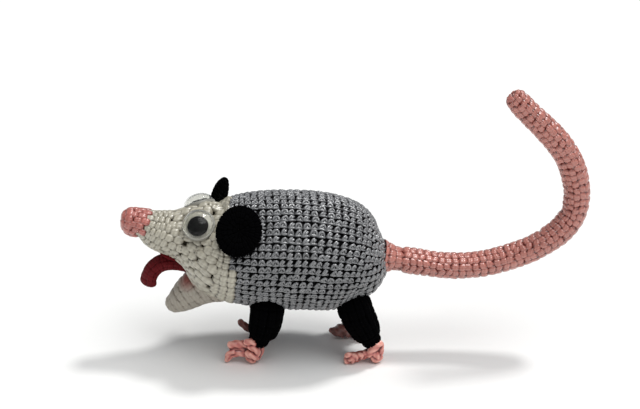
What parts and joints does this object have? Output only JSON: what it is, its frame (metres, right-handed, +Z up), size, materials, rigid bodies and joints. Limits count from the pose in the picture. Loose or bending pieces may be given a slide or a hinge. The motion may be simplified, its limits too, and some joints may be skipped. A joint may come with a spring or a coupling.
{
  "type": "crocheted toy opossum",
  "caption": "Small crocheted opossum toy, stuffed and standing on four legs, with an open mouth, clear wiggle eyes and a long curled tail.",
  "frame": {"origin": "on the floor, under the centre of the toy's box", "axes": "+X from the nose to the tail along the body, +Y to the toy's own right side, +Z up"},
  "size_m": [0.1864, 0.0503, 0.1124],
  "materials": {
    "cream_yarn": "satin",
    "grey_yarn": "satin",
    "pink_yarn": "satin",
    "black_yarn": "matte",
    "red_yarn": "matte",
    "white_plastic": "gloss",
    "clear_plastic": "gloss",
    "black_plastic": "satin"
  },
  "bodies": {
    "root": {"nose": "pink_yarn", "head": "cream_yarn", "lower_jaw": "cream_yarn", "palate": "red_yarn", "jaw_lining": "red_yarn", "tongue": "red_yarn", "torso": "grey_yarn", "tail_root": "pink_yarn", "tail_lower": "pink_yarn", "tail_bend": "pink_yarn", "tail_tip": "pink_yarn", "ear_left": "black_yarn", "ear_right": "black_yarn", "eye_base_left": "white_plastic", "eye_base_right": "white_plastic", "eye_dome_left": "clear_plastic", "eye_dome_right": "clear_plastic", "eye_pupil_left": "black_plastic", "eye_pupil_right": "black_plastic", "leg_front_left": "black_yarn", "leg_front_right": "black_yarn", "leg_rear_left": "black_yarn", "leg_rear_right": "black_yarn", "foot_front_left": "pink_yarn", "foot_front_right": "pink_yarn", "foot_rear_left": "pink_yarn", "foot_rear_right": "pink_yarn"}
  },
  "joints": []
}
